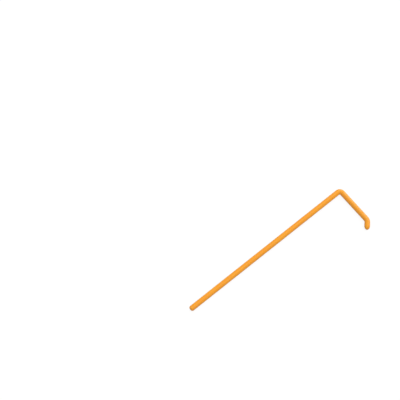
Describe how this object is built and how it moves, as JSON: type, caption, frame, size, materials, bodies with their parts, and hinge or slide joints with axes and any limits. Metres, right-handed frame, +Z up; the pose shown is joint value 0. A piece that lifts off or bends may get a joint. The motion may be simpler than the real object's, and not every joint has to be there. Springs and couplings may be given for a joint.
{
  "type": "cell spreader",
  "caption": "L-shaped round plastic spreader with a long straight handle and a short arm with a turned, rounded tip, for spreading cells over an agar plate.",
  "frame": {"origin": "on the bench, under the middle of the spreader's outline as it lies flat", "axes": "+X along the handle from its free end to the corner, the spreading arm along -Y, +Z up from the bench"},
  "size_m": [0.1502, 0.0388, 0.0043],
  "materials": {
    "orange_plastic": "satin, as moulded"
  },
  "bodies": {
    "root": {"spreader": "orange_plastic"}
  },
  "joints": []
}
